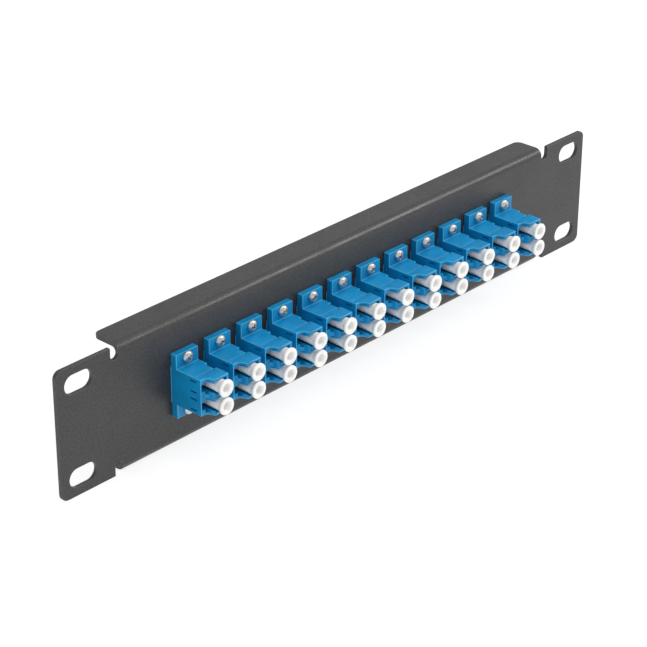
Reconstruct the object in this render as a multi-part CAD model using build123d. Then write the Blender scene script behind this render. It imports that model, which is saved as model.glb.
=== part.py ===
from build123d import *
import os

# A 10 inch rack panel of one folded steel sheet, with a row of duplex LC fibre couplers.
# All sizes are in millimetres. +X runs along the panel, to the right as seen from the front,
# +Z is up and the front looks along -Y. The origin is the middle of the four rack slots, on the
# rear face of the ears, which lies against the rack's rails.

# Panel sheet
panel_width = 254.0
panel_height = 44.0
sheet = 1.5
flange_reach = 9.9
bend_inside_radius = 1.4
flange_corner_radius = 2.5
ear_width = 21.6
ear_corner_radius = 2.5
relief_width = 3.1

# Rack slots, at the standard spacing of a 10 inch rack, one unit high
slot_spacing_x = 236.525
slot_spacing_z = 31.75
slot_length = 10.8
slot_width = 6.4

# Row of couplers
coupler_count = 12
coupler_pitch = 14.05
row_shift = 0.65
cutout_clearance = 0.1

# Coupler flange and body, with the lengths counted from the middle plane of the flange
coupler_width = 9.4
flange_height = 22.0
flange_thickness = 2.5
flange_fillet_radius = 0.5
body_height = 12.6
lip_reach = 14.35
latch_setback = 2.7
setback_width = 2.5
lip_slope = 0.9
setback_curve_radius = 1.5
lip_curve_radius = 0.6
clip_recess_depth = 0.65
clip_recess_start = 5.05
clip_recess_end = 9.05
corner_notch_width = 1.05
corner_notch_depth = 0.65
waist_depth = 0.2

# Ports: a square for the plug, a neck and a slot for the latch's shoulders. The front ones also have
# a channel for its tongue, with two narrow windows beside each port in the outer wall.
port_pitch = 6.25
port_axis_x = 1.4
port_size = 4.8
port_floor = 2.75
neck_width = 3.4
neck_length = 0.8
shoulder_slot_width = 4.8
shoulder_slot_length = 1.0
latch_channel_width = 2.6
latch_channel_length = 1.4
catch_offset = 1.85
catch_width = 0.56
catch_start = 7.1
catch_end = 9.85

# Barrel that guides the ferrule, and the split sleeve inside it
barrel_diameter = 2.8
barrel_length = 5.5
sleeve_diameter = 1.62
sleeve_bore = 1.25
sleeve_length = 6.8
sleeve_slit = 0.25
sleeve_clearance = 0.03

# Dust cap
cap_body_diameter = 4.4
cap_plug_length = 8.75
cap_head_length = 2.6
cap_rim_diameter = 5.8
cap_rim_thickness = 0.55
cap_flare_start = 0.8
cap_grip_diameter = 3.2
cap_grip_depth = 2.4
cap_socket_clearance = 0.1
cap_socket_end_clearance = 0.35

# Screws and nuts, M2
screw_spacing = 18.0
screw_diameter = 2.0
screw_head_diameter = 4.0
screw_head_height = 1.3
screw_hole_clearance = 0.1
screw_end = 0.6
nut_flats = 4.0
nut_height = 1.6
nut_clearance = 0.05

# Worked out from the sizes above
middle_y = -sheet - flange_thickness / 2
fold_half_length = panel_width / 2 - ear_width - relief_width
relief_depth = sheet + bend_inside_radius + relief_width / 2
coupler_x = [row_shift + (n - (coupler_count - 1) / 2) * coupler_pitch for n in range(coupler_count)]
port_z = [port_pitch / 2, -port_pitch / 2]
screw_z = [screw_spacing / 2, -screw_spacing / 2]
bore_diameter = sleeve_diameter + 2 * sleeve_clearance
hole_diameter = screw_diameter + 2 * screw_hole_clearance


def block(x0, x1, y0, y1, z0, z1):
    """A box between two corners."""
    middle = ((x0 + x1) / 2, (y0 + y1) / 2, (z0 + z1) / 2)
    return Pos(*middle) * Box(x1 - x0, y1 - y0, z1 - z0)


def rod(diameter, y0, y1):
    """A cylinder along Y, from y0 to y1."""
    return Pos(0, (y0 + y1) / 2, 0) * Rot(90, 0, 0) * Cylinder(diameter / 2, y1 - y0)


def edges_along(shape, axis, x=None, y=None, z=None):
    """The shape's straight edges along an axis whose middle lies at the given places, either side of 0."""
    found = ShapeList()
    for edge in shape.edges().filter_by(axis):
        middle = edge @ 0.5
        near = [
            goal is None or abs(abs(value) - abs(goal)) < 1e-4
            for value, goal in zip((middle.X, middle.Y, middle.Z), (x, y, z))
        ]
        if all(near):
            found.append(edge)
    return found


def make_panel():
    """One sheet: a flat front with two flanges folded back, and an ear at each end."""
    half_height = panel_height / 2
    folded = block(-fold_half_length, fold_half_length, -sheet, flange_reach, -half_height, half_height)
    inside = half_height - sheet
    folded -= block(-fold_half_length, fold_half_length, 0, flange_reach, -inside, inside)
    folded = fillet(edges_along(folded, Axis.X, y=sheet, z=half_height), bend_inside_radius + sheet)
    folded = fillet(edges_along(folded, Axis.X, y=0, z=inside), bend_inside_radius)
    folded = fillet(edges_along(folded, Axis.Z, x=fold_half_length, y=flange_reach), flange_corner_radius)

    ears = Box(panel_width, sheet, panel_height)
    ears = fillet(edges_along(ears, Axis.Y, x=panel_width / 2), ear_corner_radius)
    ears -= Box(2 * fold_half_length, sheet, panel_height)
    panel = folded + Pos(0, -sheet / 2, 0) * ears

    relief_x = fold_half_length + relief_width / 2
    relief_bottom = half_height - relief_depth + relief_width / 2
    cuts = []
    for side_x in (-1, 1):
        for side_z in (-1, 1):
            cuts.append(Pos(side_x * relief_x, 0, side_z * relief_bottom) * rod(relief_width, -sheet, 0))
            cuts.append(
                Pos(side_x * relief_x, 0, side_z * relief_bottom)
                * block(-relief_width / 2, relief_width / 2, -sheet, 0, -relief_depth * (side_z < 0),
                        relief_depth * (side_z > 0))
            )
            slot = Rot(90, 0, 0) * extrude(SlotOverall(slot_length, slot_width), sheet)
            cuts.append(Pos(side_x * slot_spacing_x / 2, 0, side_z * slot_spacing_z / 2) * slot)
    half_x = coupler_width / 2 + cutout_clearance
    half_z = body_height / 2 + cutout_clearance
    for x in coupler_x:
        cuts.append(block(x - half_x, x + half_x, -sheet, 0, -half_z, half_z))
        for z in screw_z:
            cuts.append(Pos(x, 0, z) * rod(hole_diameter, -sheet, 0))
    return panel - cuts


def make_port():
    """The hollow of one port, on its own axis, from its floor out past the lip."""
    neck_end = -port_size / 2 - neck_length
    slot_end = neck_end - shoulder_slot_length
    shape = Rectangle(port_size, port_size)
    shape += Pos((-port_size / 2 + neck_end) / 2, 0) * Rectangle(neck_length, neck_width)
    shape += Pos((neck_end + slot_end) / 2, 0) * Rectangle(shoulder_slot_length, shoulder_slot_width)
    return Pos(0, port_floor, 0) * Rot(-90, 0, 0) * extrude(shape, lip_reach - port_floor)


def make_half_body(start):
    """Half a coupler's body, from y = start out to the lip, with its two ports and barrels."""
    half_width = coupler_width / 2
    setback_y = lip_reach - latch_setback
    knee_x = -half_width + setback_width
    front = FilletPolyline(
        (-half_width, setback_y),
        (knee_x, setback_y),
        (knee_x + lip_slope, lip_reach),
        (half_width, lip_reach),
        radius=[setback_curve_radius, lip_curve_radius],
    )
    sides = Polyline(
        (half_width, lip_reach),
        (half_width, start),
        (-half_width, start),
        (-half_width, setback_y),
    )
    body = Pos(0, 0, -body_height / 2) * extrude(make_face([front, sides]), body_height)
    port = make_port()
    for z in port_z:
        place = Pos(port_axis_x, 0, z)
        body -= place * port
        body += place * rod(barrel_diameter, port_floor, port_floor + barrel_length)
        body -= place * rod(bore_diameter, start, port_floor + barrel_length)
    return body


def make_front_recesses(start):
    """What is cut into the front body: the clip's seat and waist, the latch channels and their windows."""
    half_width = coupler_width / 2
    notch_x = half_width - corner_notch_width
    slot_end = -port_size / 2 - neck_length - shoulder_slot_length
    channel_end = slot_end - latch_channel_length
    cuts = [block(half_width - clip_recess_depth, half_width, clip_recess_start, clip_recess_end,
                  -body_height / 2, body_height / 2)]
    for z in (-body_height / 2, body_height / 2):
        cuts.append(block(-half_width, half_width, start, clip_recess_end, z - waist_depth, z + waist_depth))
        cuts.append(block(notch_x, half_width, clip_recess_start, clip_recess_end,
                          z - corner_notch_depth, z + corner_notch_depth))
    for z in port_z:
        cuts.append(block(port_axis_x + channel_end, port_axis_x + slot_end, port_floor, lip_reach,
                          z - latch_channel_width / 2, z + latch_channel_width / 2))
        for side in (-1, 1):
            middle = z + side * catch_offset
            cuts.append(block(-half_width, port_axis_x + slot_end + shoulder_slot_length / 2,
                              catch_start, catch_end, middle - catch_width / 2, middle + catch_width / 2))
    return cuts


def make_front_shell():
    """The half that carries the flange. Turned about X, the latch side stays on -X."""
    half = flange_thickness / 2
    flange = Box(coupler_width, flange_thickness, flange_height)
    for z in port_z:
        flange -= Pos(port_axis_x, 0, z) * rod(bore_diameter, -half, half)
    for z in screw_z:
        flange -= Pos(0, 0, z) * rod(hole_diameter, -half, half)
    shell = flange + Rot(180, 0, 0) * (make_half_body(half) - make_front_recesses(half))
    inside_corners = edges_along(shell, Axis.X, y=half, z=body_height / 2 - waist_depth)
    shell = fillet(inside_corners, flange_fillet_radius)
    return Pos(0, middle_y, 0) * shell


def make_rear_shell():
    """The half behind the flange, which passes through the panel. It has no clip seat."""
    return Pos(0, middle_y, 0) * make_half_body(flange_thickness / 2)


def make_sleeve():
    """A split sleeve, centred on the flange's middle plane."""
    half = sleeve_length / 2
    sleeve = rod(sleeve_diameter, -half, half) - rod(sleeve_bore, -half, half)
    sleeve -= block(0, sleeve_diameter, -half, half, -sleeve_slit / 2, sleeve_slit / 2)
    return Pos(0, middle_y, 0) * sleeve


def make_dust_cap():
    """A cap turned about its port's axis: plug, flared head and rim, with a hollow at each end."""
    lip_y = -lip_reach
    end_y = lip_y - cap_head_length
    rim_y = end_y + cap_rim_thickness
    flare_y = lip_y - cap_flare_start
    inner_y = lip_y + cap_plug_length
    body_r = cap_body_diameter / 2
    rim_r = cap_rim_diameter / 2
    profile = Polyline(
        (0, end_y), (rim_r, end_y), (rim_r, rim_y), (body_r, flare_y), (body_r, inner_y), (0, inner_y), (0, end_y)
    )
    cap = revolve(make_face(profile), Axis.Y)
    cap -= rod(cap_grip_diameter, end_y, end_y + cap_grip_depth)
    socket = barrel_diameter + 2 * cap_socket_clearance
    barrel_tip_y = -port_floor - barrel_length
    cap -= rod(socket, barrel_tip_y - cap_socket_end_clearance, inner_y)
    return Pos(0, middle_y, 0) * cap


def make_screw():
    """A pan head and a plain shank. The shank ends a little behind its nut."""
    front = -sheet - flange_thickness
    head = rod(screw_head_diameter, front - screw_head_height, front)
    return head + rod(screw_diameter, front, nut_height + screw_end)


def make_nut():
    """A hexagon nut against the rear face of the panel."""
    sides = RegularPolygon(nut_flats / 2, 6, major_radius=False)
    hexagon = Rot(-90, 0, 0) * extrude(sides, nut_height)
    return hexagon - rod(screw_diameter + 2 * nut_clearance, 0, nut_height)


def repeated(piece, places):
    """Copies of a piece, each its own solid, in one compound."""
    return Compound(children=[Pos(*place) * piece for place in places])


def write(shape, name):
    export_step(shape, f"parts/{name}.step")


os.makedirs("parts", exist_ok=True)
write(make_panel(), "panel")
front_shell = make_front_shell()
rear_shell = make_rear_shell()
dust_cap = make_dust_cap()
for number, x in enumerate(coupler_x, 1):
    write(Pos(x, 0, 0) * front_shell, f"coupler_{number:02d}_front_shell")
    write(Pos(x, 0, 0) * rear_shell, f"coupler_{number:02d}_rear_shell")
    for name, z in zip(("upper", "lower"), port_z):
        write(Pos(x + port_axis_x, 0, z) * dust_cap, f"dust_cap_{number:02d}_{name}")
port_places = [(x + port_axis_x, 0, z) for x in coupler_x for z in port_z]
screw_places = [(x, 0, z) for x in coupler_x for z in screw_z]
write(repeated(make_sleeve(), port_places), "split_sleeves")
write(repeated(make_screw(), screw_places), "flange_screws")
write(repeated(make_nut(), screw_places), "flange_nuts")
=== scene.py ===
from math import cos, pi, radians, sin

import bmesh
import bpy
from mathutils import Matrix, Quaternion, Vector
from mathutils.bvhtree import BVHTree


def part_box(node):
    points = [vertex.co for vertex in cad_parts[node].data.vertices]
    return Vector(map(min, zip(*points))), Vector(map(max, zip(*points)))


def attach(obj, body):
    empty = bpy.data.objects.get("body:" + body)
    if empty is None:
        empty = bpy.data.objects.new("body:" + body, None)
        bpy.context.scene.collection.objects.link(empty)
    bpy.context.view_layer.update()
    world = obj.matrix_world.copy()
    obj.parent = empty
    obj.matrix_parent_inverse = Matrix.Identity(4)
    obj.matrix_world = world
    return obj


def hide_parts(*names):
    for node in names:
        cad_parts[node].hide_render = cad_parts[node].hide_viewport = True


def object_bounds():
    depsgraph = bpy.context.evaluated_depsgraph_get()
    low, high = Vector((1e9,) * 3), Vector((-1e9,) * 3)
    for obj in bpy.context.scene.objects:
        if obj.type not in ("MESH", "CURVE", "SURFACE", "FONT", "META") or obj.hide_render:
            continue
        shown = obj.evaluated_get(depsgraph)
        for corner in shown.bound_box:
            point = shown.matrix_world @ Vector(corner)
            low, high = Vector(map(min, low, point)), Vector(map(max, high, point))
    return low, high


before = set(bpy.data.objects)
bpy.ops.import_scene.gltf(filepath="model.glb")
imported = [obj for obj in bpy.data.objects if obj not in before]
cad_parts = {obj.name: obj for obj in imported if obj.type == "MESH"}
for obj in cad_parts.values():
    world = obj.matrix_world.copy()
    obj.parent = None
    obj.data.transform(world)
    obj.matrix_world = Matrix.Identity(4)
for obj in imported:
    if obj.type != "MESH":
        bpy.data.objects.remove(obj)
cad_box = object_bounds()

# Panel
# One 1.5 mm steel sheet, punched, folded back along its top and bottom edges and powder coated
# black. The coating rounds every cut edge and dries with a fine pebbled grain.
MM = 0.001
FIXED = "patch_panel"
SHEET_EDGE_RADIUS = 0.22 * MM


def linear(hex_colour):
    """An sRGB hex colour as the linear RGBA that a socket takes."""
    channels = [int(hex_colour[i:i + 2], 16) / 255 for i in (1, 3, 5)]
    return [c / 12.92 if c <= 0.04045 else ((c + 0.055) / 1.055) ** 2.4 for c in channels] + [1.0]


def add_node(tree, kind, inputs=None, **settings):
    """Adds a node. Each input is a value, or the output of another node that feeds it."""
    node = tree.nodes.new(kind)
    for name, value in settings.items():
        setattr(node, name, value)
    for name, value in (inputs or {}).items():
        if isinstance(value, bpy.types.NodeSocket):
            tree.links.new(value, node.inputs[name])
        else:
            node.inputs[name].default_value = value
    return node


def start_material(name, **surface):
    """A material with its shader's plain settings, and the object's own coordinates to build on."""
    material = bpy.data.materials.new(name)
    material.use_nodes = True
    tree = material.node_tree
    shader = tree.nodes["Principled BSDF"]
    for socket, value in surface.items():
        shader.inputs[socket.replace("_", " ")].default_value = value
    place = add_node(tree, "ShaderNodeTexCoord").outputs["Object"]
    return material, tree, shader, place


def grain(tree, place, size, detail=2.0, **more):
    """Noise whose lumps are about size metres across, as its factor output."""
    inputs = {"Vector": place, "Scale": 1 / size, "Detail": detail, "Roughness": 0.55, **more}
    return add_node(tree, "ShaderNodeTexNoise", inputs).outputs["Fac"]


def between(tree, factor, low, high):
    """A colour that runs from one hex colour to the other as the factor goes from 0.35 to 0.65."""
    spread = add_node(tree, "ShaderNodeMapRange", {"Value": factor, "From Min": 0.35, "From Max": 0.65})
    inputs = {0: spread.outputs["Result"], 6: linear(low), 7: linear(high)}
    return add_node(tree, "ShaderNodeMix", inputs, data_type="RGBA").outputs[2]


def painted_edge_highlights(tree, colour, highlight_colour, amount):
    """The colour, turned towards a lighter one on the faces that round an edge: a painted highlight along the
    edges.
    """
    edge = add_node(tree, "ShaderNodeAttribute", attribute_name="edge").outputs["Fac"]
    share = add_node(tree, "ShaderNodeMath", {0: edge, 1: amount}, operation="MULTIPLY").outputs[0]
    inputs = {0: share, 6: colour, 7: linear(highlight_colour)}
    return add_node(tree, "ShaderNodeMix", inputs, data_type="RGBA").outputs[2]


def relief(tree, shader, height, depth, strength):
    """Raises the surface by the height factor, depth metres from its lowest to its highest point."""
    bump = add_node(tree, "ShaderNodeBump", {"Height": height, "Distance": depth, "Strength": strength})
    tree.links.new(bump.outputs["Normal"], shader.inputs["Normal"])


def merged(mesh):
    """A mesh as a bmesh, with its triangles merged into whole flat faces."""
    shape = bmesh.new()
    shape.from_mesh(mesh)
    # The edge layer marks the faces where a material paints a highlight.
    shape.faces.layers.float.new("edge")
    bmesh.ops.remove_doubles(shape, verts=shape.verts, dist=0.001 * MM)
    bmesh.ops.dissolve_limit(shape, angle_limit=radians(1), verts=shape.verts, edges=shape.edges)
    return shape


def sharp_edges(shape):
    """The edges where two faces meet at more than 40 degrees."""
    return [e for e in shape.edges if e.is_manifold and e.calc_face_angle() > radians(40)]


def round_edges(shape, edges, radius, segments):
    """Rounds edges to a radius, and marks the new faces, where a material paints a highlight."""
    highlight_mark = shape.faces.layers.float["edge"]
    made = bmesh.ops.bevel(
        shape, geom=edges, offset=radius, offset_type="OFFSET", segments=segments, profile=0.5,
        affect="EDGES", clamp_overlap=False, loop_slide=True, material=-1,
    )
    for face in made["faces"]:
        face[highlight_mark] = 1.0


def finished_mesh(shape, name):
    """The bmesh as a mesh, smooth except across its sharp edges."""
    bmesh.ops.dissolve_degenerate(shape, dist=0.002 * MM, edges=shape.edges)
    mesh = bpy.data.meshes.new(name)
    shape.to_mesh(mesh)
    shape.free()
    mesh.shade_smooth()
    mesh.set_sharp_from_angle(angle=radians(40))
    return mesh


def add_piece(name, mesh, material, body, replaced):
    """A finished piece that rides on a body and stands for a CAD node."""
    piece = bpy.data.objects.new(name, mesh)
    bpy.context.scene.collection.objects.link(piece)
    mesh.materials.clear()
    mesh.materials.append(material)
    shading = piece.modifiers.new("even shading", "WEIGHTED_NORMAL")
    shading.keep_sharp = True
    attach(piece, body)
    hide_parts(replaced)


# Polyester powder coat on steel: a dark neutral grey film about 80 microns thick. Its pebbled skin
# scatters the light, so a lit fold shows as a soft, speckled band. The real grain is near 0.3 mm
# and is drawn at 0.7 mm, the finest that shows.
powder_coat, tree, shader, place = start_material(
    "black_powder_coat_on_steel", Metallic=0.0, Roughness=0.4, IOR=1.5,
)
pebbles = grain(tree, place, 0.7 * MM, detail=3.0)
clouds = grain(tree, place, 14 * MM)
coat = between(tree, pebbles, "#292828", "#3a3939")
# The rounded edges are turned a lighter grey: a painted highlight along every edge of the sheet.
tree.links.new(painted_edge_highlights(tree, coat, "#6a6a6a", 0.2), shader.inputs["Base Color"])
dull_to_bright = {"Value": clouds, "From Min": 0.3, "From Max": 0.7, "To Min": 0.36, "To Max": 0.46}
gloss = add_node(tree, "ShaderNodeMapRange", dull_to_bright)
tree.links.new(gloss.outputs["Result"], shader.inputs["Roughness"])
relief(tree, shader, pebbles, 0.09 * MM, 0.75)

panel = merged(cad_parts["panel"].data)
round_edges(panel, sharp_edges(panel), SHEET_EDGE_RADIUS, 3)
add_piece("folded_panel", finished_mesh(panel, "folded_panel"), powder_coat, FIXED, "panel")

# Coupler shells
# Each coupler is two blue thermoplastic mouldings welded at the flange. The front one carries the
# flange and is screwed to the panel, and the rear one passes through it. Both have stepped ports
# for the plug and its latch, and a barrel in each port for the ferrule.
COUPLERS = 12
PITCH = 14.05 * MM

# Polybutylene terephthalate, injection moulded: even blue with a satin skin from a spark-eroded
# mould. Its 0.1 mm texture is drawn at 0.3 mm, and flow marks vary the blue a little.
blue_plastic, tree, shader, place = start_material(
    "blue_moulded_pbt", Roughness=0.42, IOR=1.45, Specular_IOR_Level=0.4,
)
skin = grain(tree, place, 0.3 * MM)
flow = grain(tree, place, 6 * MM, detail=1.0)
blue = between(tree, flow, "#0081b8", "#008dc6")
# The rounded edges are turned a pale blue: a painted highlight along every edge of the moulding.
tree.links.new(painted_edge_highlights(tree, blue, "#5fbfe8", 0.6), shader.inputs["Base Color"])
relief(tree, shader, skin, 0.012 * MM, 0.5)

OUTER_RADIUS = 0.22 * MM
MOUTH_RADIUS = 0.09 * MM
FLANGE_FRONT = -4.0 * MM
BODY_TOP = 6.3 * MM
WAIST_TOP = 6.1 * MM
WAIST_DEPTH = 0.2 * MM

# The groove across the top and the bottom of a body, as it lies on the first coupler. It is deepest at
# its back.
GROOVE_LEFT = -80.9 * MM
GROOVE_RIGHT = -73.0 * MM
GROOVE_FRONT = -13.5 * MM
GROOVE_BACK = -11.6 * MM
GROOVE_DEPTH = 0.28 * MM
GROOVE_RUN_OUT = 0.26 * MM
# How strongly the groove's back wall is lightened: a painted highlight.
GROOVE_BACK_WALL_HIGHLIGHT = 0.25


def open_faces(shape):
    """The faces that look out into free space, so not those inside a port, slit or hole."""
    tree = BVHTree.FromBMesh(shape)
    outside = set()
    for face in shape.faces:
        start = face.calc_center_median() + face.normal * 0.01 * MM
        if tree.ray_cast(start, face.normal)[0] is None:
            outside.add(face)
    return outside


def split_faces(shape, faces, place, across):
    """Divides faces, and nothing else, where a plane crosses them."""
    edges = {edge for face in faces for edge in face.edges}
    corners = {corner for face in faces for corner in face.verts}
    bmesh.ops.bisect_plane(
        shape, geom=[*faces, *edges, *corners], dist=0.001 * MM, plane_co=place, plane_no=across,
    )


def flat_faces(shape, way, level, low, high):
    """The faces that look up or down at a level and have their middles between two corners."""
    found = []
    for face in shape.faces:
        middle = face.calc_center_median()
        inside = low[0] < middle.x < high[0] and low[1] < middle.y < high[1]
        if inside and face.normal.z * way > 0.99 and abs(middle.z - way * level) < 0.02 * MM:
            found.append(face)
    return found


def move_faces(shape, faces, height):
    """Pushes flat faces up or down, with walls round them, and gives their corners back."""
    pushed = bmesh.ops.extrude_face_region(shape, geom=faces)["geom"]
    bmesh.ops.delete(shape, geom=faces, context="FACES")
    corners = [item for item in pushed if isinstance(item, bmesh.types.BMVert)]
    bmesh.ops.translate(shape, vec=(0, 0, height), verts=corners)
    return corners


def level_top(shape, way):
    """Brings the body behind the clip's place level with its front."""
    waist = flat_faces(shape, way, WAIST_TOP, (-1, -1), (1, FLANGE_FRONT))
    split_faces(shape, waist, (0, GROOVE_BACK, 0), (0, 1, 0))
    waist = flat_faces(shape, way, WAIST_TOP, (-1, GROOVE_BACK), (1, FLANGE_FRONT))
    move_faces(shape, waist, way * WAIST_DEPTH)


def cut_groove(shape, way):
    """Cuts the shallow groove in front of the clip's place, steep at the back and run out to the front, with
    a painted highlight on its back wall.
    """
    low, high = (GROOVE_LEFT, GROOVE_FRONT), (GROOVE_RIGHT, GROOVE_BACK)
    for y in (GROOVE_FRONT, GROOVE_BACK):
        top = flat_faces(shape, way, BODY_TOP, (-1, -1), (1, FLANGE_FRONT))
        split_faces(shape, top, (0, y, 0), (0, 1, 0))
    for x in (GROOVE_LEFT, GROOVE_RIGHT):
        top = flat_faces(shape, way, BODY_TOP, (-1, GROOVE_FRONT), (1, GROOVE_BACK))
        split_faces(shape, top, (x, 0, 0), (1, 0, 0))
    corners = move_faces(shape, flat_faces(shape, way, BODY_TOP, low, high), way * -GROOVE_DEPTH)
    halfway = (GROOVE_FRONT + GROOVE_BACK) / 2
    front = [corner for corner in corners if corner.co.y < halfway]
    bmesh.ops.translate(shape, vec=(0, 0, way * GROOVE_RUN_OUT), verts=front)
    # The back wall, which faces the front, is marked for a painted highlight.
    back_walls = {face for corner in corners if corner not in front for face in corner.link_faces}
    for face in back_walls:
        if face.normal.y < -0.9:
            face[shape.faces.layers.float["edge"]] = GROOVE_BACK_WALL_HIGHLIGHT


def moulded_copy(node):
    """A shell with its outer edges well rounded and the mouths of its ports just broken."""
    shape = merged(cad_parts[node].data)
    if "front" in node:
        for way in (1, -1):
            level_top(shape, way)
        bmesh.ops.dissolve_limit(shape, angle_limit=radians(1), verts=shape.verts, edges=shape.edges)
    outside = open_faces(shape)
    outer = []
    for edge in sharp_edges(shape):
        width = min(face.calc_area() for face in edge.link_faces) / edge.calc_length()
        if edge.is_convex and outside.issuperset(edge.link_faces) and width > 2 * OUTER_RADIUS:
            outer.append(edge)
    round_edges(shape, outer, OUTER_RADIUS, 3)
    outside = open_faces(shape)
    mouths = [
        edge for edge in sharp_edges(shape)
        if edge.is_convex and any(face in outside and abs(face.normal.x) < 0.99 for face in edge.link_faces)
    ]
    round_edges(shape, mouths, MOUTH_RADIUS, 1)
    if "front" in node:
        for way in (1, -1):
            cut_groove(shape, way)
    return finished_mesh(shape, node + "_moulded")


for side in ("front", "rear"):
    moulding = moulded_copy(f"coupler_01_{side}_shell")
    for number in range(1, COUPLERS + 1):
        mesh = moulding.copy()
        mesh.transform(Matrix.Translation(((number - 1) * PITCH, 0, 0)))
        add_piece(
            f"moulded_{side}_{number:02d}", mesh, blue_plastic, FIXED,
            f"coupler_{number:02d}_{side}_shell",
        )

# Dust caps
# A soft white polyethylene cap plugs each front port. It is a round plug with a flared head and a
# thin rim, with a dished hollow at the front and another at the back, where it slips over the barrel.
CAP_TURNS = 56


def turned(profile, steps, name):
    """A solid of revolution about the Y axis, from (radius, y) points that run from pole to pole."""
    shape = bmesh.new()
    points = [shape.verts.new((radius, y, 0)) for radius, y in profile]
    edges = [shape.edges.new(pair) for pair in zip(points, points[1:])]
    bmesh.ops.spin(
        shape, geom=points + edges, cent=(0, 0, 0), axis=(0, 1, 0), angle=2 * pi, steps=steps, use_merge=True,
    )
    bmesh.ops.remove_doubles(shape, verts=shape.verts, dist=0.0005 * MM)
    bmesh.ops.recalc_face_normals(shape, faces=shape.faces)
    return finished_mesh(shape, name)


# Low-density polyethylene, moulded: milky white, waxy and slightly see-through, so its thin rim
# glows and its hollows stay light. A faint flow mark clouds it.
white_plastic, tree, shader, place = start_material(
    "milky_polyethylene", Roughness=0.42, IOR=1.51, Subsurface_Weight=0.35, Subsurface_Scale=0.8 * MM,
    Subsurface_Radius=(1.0, 0.95, 0.9),
)
cloud = grain(tree, place, 2 * MM, detail=1.0)
tree.links.new(between(tree, cloud, "#edecea", "#f5f4f2"), shader.inputs["Base Color"])
relief(tree, shader, cloud, 0.01 * MM, 0.3)

low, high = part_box("dust_cap_01_upper")
cap_profile = [
    (0.00, 2.00), (0.28, 2.00), (0.40, 1.90), (0.52, 2.06), (0.95, 2.02), (1.18, 1.85), (1.32, 1.55),
    (1.40, 0.80), (1.48, 0.40), (1.60, 0.14), (1.78, 0.02), (1.95, 0.00), (2.62, 0.00), (2.80, 0.05),
    (2.89, 0.16), (2.90, 0.32), (2.90, 0.52), (2.84, 0.68), (2.68, 0.95), (2.46, 1.35), (2.28, 1.72),
    (2.21, 2.05), (2.20, 2.50), (2.20, 11.05), (2.14, 11.25), (2.00, 11.35), (1.62, 11.35), (1.53, 11.28),
    (1.50, 11.10), (1.50, 8.50), (1.40, 8.36), (0.00, 8.36),
]
cap_shape = turned([(r * MM, low.y + y * MM) for r, y in cap_profile], CAP_TURNS, "cap_shape")
for number in range(1, COUPLERS + 1):
    for row in ("upper", "lower"):
        cad_cap = f"dust_cap_{number:02d}_{row}"
        low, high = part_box(cad_cap)
        mesh = cap_shape.copy()
        mesh.transform(Matrix.Translation(((low.x + high.x) / 2, 0, (low.z + high.z) / 2)))
        add_piece(f"white_cap_{number:02d}_{row}", mesh, white_plastic, cad_cap, cad_cap)

# Flange screws and nuts
# Two M2 screws hold each flange. They are nickel-plated steel with pan heads and a cross recess.
# A hexagon nut turned down at its corners holds each behind the panel.
SCREW_SPREAD = 9 * MM
NUT_HEIGHT = 1.6 * MM


def cut(solid, tool, operation, name):
    """What a Boolean of two meshes leaves, as a new mesh."""
    objects = [bpy.data.objects.new(name, mesh) for mesh in (solid, tool)]
    for item in objects:
        bpy.context.scene.collection.objects.link(item)
    modifier = objects[0].modifiers.new(operation.lower(), "BOOLEAN")
    modifier.operation = operation
    modifier.solver = "EXACT"
    modifier.object = objects[1]
    ready = objects[0].evaluated_get(bpy.context.evaluated_depsgraph_get())
    result = bpy.data.meshes.new_from_object(ready)
    for item in objects:
        bpy.data.objects.remove(item)
    result.set_sharp_from_angle(angle=radians(32))
    return result


def joined(name, copies):
    """One mesh of many placed copies of others."""
    shape = bmesh.new()
    for mesh, matrix in copies:
        placed = mesh.copy()
        placed.transform(matrix)
        shape.from_mesh(placed)
        bpy.data.meshes.remove(placed)
    return finished_mesh(shape, name)


# Nickel plate on steel: a warm pale grey metal, bright, with patches that handling has dulled a little.
nickel, tree, shader, place = start_material("bright_nickel_plate", Metallic=1.0, Roughness=0.24)
wear = grain(tree, place, 0.5 * MM)
tree.links.new(between(tree, wear, "#bdbcb9", "#d6d5d2"), shader.inputs["Base Color"])
gloss = add_node(tree, "ShaderNodeMapRange", {"Value": wear, "To Min": 0.24, "To Max": 0.42})
tree.links.new(gloss.outputs["Result"], shader.inputs["Roughness"])
relief(tree, shader, wear, 0.008 * MM, 0.4)

screw_profile = [
    (0.00, -1.30), (0.55, -1.29), (1.05, -1.22), (1.45, -1.08), (1.75, -0.85), (1.93, -0.55), (2.00, -0.25),
    (2.00, -0.06), (1.94, 0.00), (1.00, 0.00), (1.00, 5.20), (0.82, 5.40), (1.00, 5.60), (0.82, 5.80),
    (1.00, 6.00), (0.78, 6.20), (0.00, 6.20),
]
screw_shape = turned([(r * MM, y * MM) for r, y in screw_profile], 32, "screw_shape")
recess_half_width = 0.22
recess_reach = 1.15
recess_mouth_y = -1.5
recess_depth = 1.1
recess_taper = 0.45
recess_corners = (
    (recess_half_width, recess_half_width),
    (recess_half_width, recess_reach),
    (-recess_half_width, recess_reach),
)
recess = bmesh.new()
outline = []
for quarter in range(4):
    turn = Matrix.Rotation(-quarter * pi / 2, 3, "Y")
    for x, z in recess_corners:
        outline.append(recess.verts.new(turn @ Vector((x, recess_mouth_y, z)) * MM))
face = recess.faces.new(outline)
floor_face = bmesh.ops.extrude_face_region(recess, geom=[face])["geom"]
deep = [item for item in floor_face if isinstance(item, bmesh.types.BMVert)]
bmesh.ops.scale(recess, vec=(recess_taper, 1, recess_taper), verts=deep)
bmesh.ops.translate(recess, vec=(0, recess_depth * MM, 0), verts=deep)
bmesh.ops.recalc_face_normals(recess, faces=recess.faces)
recess_tool = bpy.data.meshes.new("recess_tool")
recess.to_mesh(recess_tool)
screw_shape = cut(screw_shape, recess_tool, "DIFFERENCE", "screw_shape")

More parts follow.
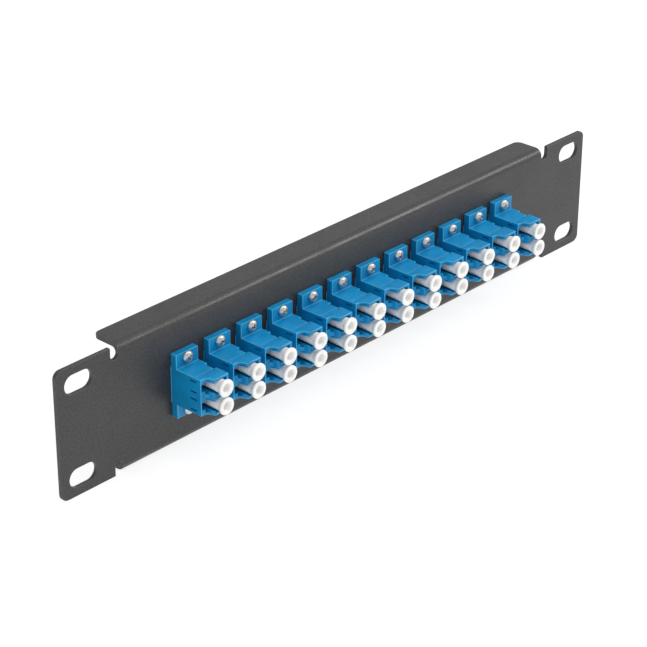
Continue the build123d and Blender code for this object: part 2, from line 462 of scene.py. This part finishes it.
nut_corner_radius = 2.0 / cos(pi / 6) * MM
hexagon = bmesh.new()
bmesh.ops.create_cone(
    hexagon, cap_ends=True, segments=6, radius1=nut_corner_radius, radius2=nut_corner_radius,
    depth=NUT_HEIGHT,
)
bmesh.ops.rotate(hexagon, cent=(0, 0, 0), matrix=Matrix.Rotation(pi / 2, 3, "X"), verts=hexagon.verts)
bmesh.ops.translate(hexagon, vec=(0, NUT_HEIGHT / 2, 0), verts=hexagon.verts)
hexagon_mesh = bpy.data.meshes.new("hexagon")
hexagon.to_mesh(hexagon_mesh)
nut_profile = [
    (1.05, 0.0), (1.95, 0.0), (2.4, 0.25), (2.4, 1.35), (1.95, 1.6), (1.2, 1.6), (1.05, 1.45), (1.05, 0.0),
]
nut_ring = turned([(r * MM, y * MM) for r, y in nut_profile], 36, "nut_ring")
nut_shape = cut(nut_ring, hexagon_mesh, "INTERSECT", "nut_shape")

# Each screw and nut stops at its own angle.
low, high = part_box("coupler_01_front_shell")
first_x = (low.x + high.x) / 2
screws, nuts = [], []
for number in range(COUPLERS):
    x = first_x + number * PITCH
    for row in (1, -1):
        place_at = Matrix.Translation((x, FLANGE_FRONT, row * SCREW_SPREAD))
        turn = Matrix.Rotation(radians((number * 37 + row * 19) % 90), 4, "Y")
        screws.append((screw_shape, place_at @ turn))
        nuts.append((nut_shape, Matrix.Translation((x, 0, row * SCREW_SPREAD)) @ turn))
add_piece("nickel_screws", joined("screws", screws), nickel, FIXED, "flange_screws")
add_piece("nickel_nuts", joined("nuts", nuts), nickel, FIXED, "flange_nuts")

# Split sleeves
# A zirconia tube with one slit lies across the middle of each pair of barrels and lines up the two
# ferrules. It is ground and polished, and shows as a bright ring inside the barrel.
zirconia, tree, shader, place = start_material(
    "polished_zirconia", Roughness=0.12, IOR=2.1, Subsurface_Weight=0.2, Subsurface_Scale=0.3 * MM,
)
speck = grain(tree, place, 0.4 * MM)
tree.links.new(between(tree, speck, "#e9e6de", "#f3f1ea"), shader.inputs["Base Color"])
SLEEVE_MIDDLE = -2.75 * MM
sleeve_half_slit = 0.125
sleeve_wall_radius = 0.72
sleeve = bmesh.new()
ring = [
    (0.625, -3.35), (0.66, -3.40), (0.78, -3.40), (0.81, -3.35),
    (0.81, 3.35), (0.78, 3.40), (0.66, 3.40), (0.625, 3.35),
]
start_angle = sleeve_half_slit / sleeve_wall_radius
section = [sleeve.verts.new((r * cos(start_angle) * MM, y * MM, -r * sin(start_angle) * MM)) for r, y in ring]
edges = [sleeve.edges.new(pair) for pair in zip(section, section[1:] + section[:1])]
bmesh.ops.spin(
    sleeve, geom=section + edges, cent=(0, 0, 0), axis=(0, 1, 0), angle=2 * pi - 2 * start_angle, steps=28,
)
bmesh.ops.holes_fill(sleeve, edges=[e for e in sleeve.edges if e.is_boundary])
bmesh.ops.recalc_face_normals(sleeve, faces=sleeve.faces)
sleeve_shape = finished_mesh(sleeve, "sleeve_shape")
sleeves = []
for number in range(1, COUPLERS + 1):
    for row in ("upper", "lower"):
        low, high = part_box(f"dust_cap_{number:02d}_{row}")
        middle = ((low.x + high.x) / 2, SLEEVE_MIDDLE, (low.z + high.z) / 2)
        sleeves.append((sleeve_shape, Matrix.Translation(middle)))
add_piece("ceramic_sleeves", joined("sleeves", sleeves), zirconia, FIXED, "split_sleeves")

# Studio
# The panel stands on its lower fold, on a pale floor under large soft lights.
floor_shape = bmesh.new()
bmesh.ops.create_grid(floor_shape, x_segments=1, y_segments=1, size=3.0)
bmesh.ops.translate(floor_shape, vec=(0, 0, cad_box[0].z), verts=floor_shape.verts)
floor = bpy.data.objects.new("studio_floor", finished_mesh(floor_shape, "studio_floor"))
bpy.context.scene.collection.objects.link(floor)
paper, tree, shader, place = start_material(
    "white_paper", Roughness=0.9, Emission_Color=(1, 1, 1, 1), Emission_Strength=0.84,
)
tree.links.new(between(tree, grain(tree, place, 200 * MM), "#7c7c7c", "#828282"), shader.inputs["Base Color"])
floor.data.materials.append(paper)

world = bpy.data.worlds.new("white_room")
world.use_nodes = True
world.node_tree.nodes["Background"].inputs["Color"].default_value = (1, 1, 1, 1)
world.node_tree.nodes["Background"].inputs["Strength"].default_value = 0.72
bpy.context.scene.world = world


def soft_light(name, size, power, location, target):
    """A square area light that faces a point. Sizes and places are in metres."""
    light = bpy.data.lights.new(name, "AREA")
    light.size = size
    light.energy = power
    lamp = bpy.data.objects.new(name, light)
    lamp.location = location
    lamp.rotation_euler = (Vector(target) - Vector(location)).to_track_quat("-Z", "Y").to_euler()
    bpy.context.scene.collection.objects.link(lamp)


soft_light("overhead", 1.2, 3.2, (0.15, -0.1, 1.1), (0, 0, 0))
soft_light("right_front", 0.22, 3.8, (0.75, -0.5, 0.62), (0, 0, 0))

# Camera
# Long lens, from the left and above, as in the photograph.
camera_place = Vector((-486.35, -438.15, 327.60)) * MM
camera_target = Vector((-12.5, -1.5, -4.7)) * MM
camera_data = bpy.data.cameras.new("camera")
camera_data.sensor_width = 36
camera_data.lens = 122.86
camera = bpy.data.objects.new("camera", camera_data)
camera.location = camera_place
roll = Quaternion((0, 0, 1), radians(0.18))
camera.rotation_mode = "QUATERNION"
camera.rotation_quaternion = (camera_target - camera_place).to_track_quat("-Z", "Y") @ roll
bpy.context.scene.collection.objects.link(camera)
bpy.context.scene.camera = camera
bpy.context.scene.view_settings.view_transform = "Standard"
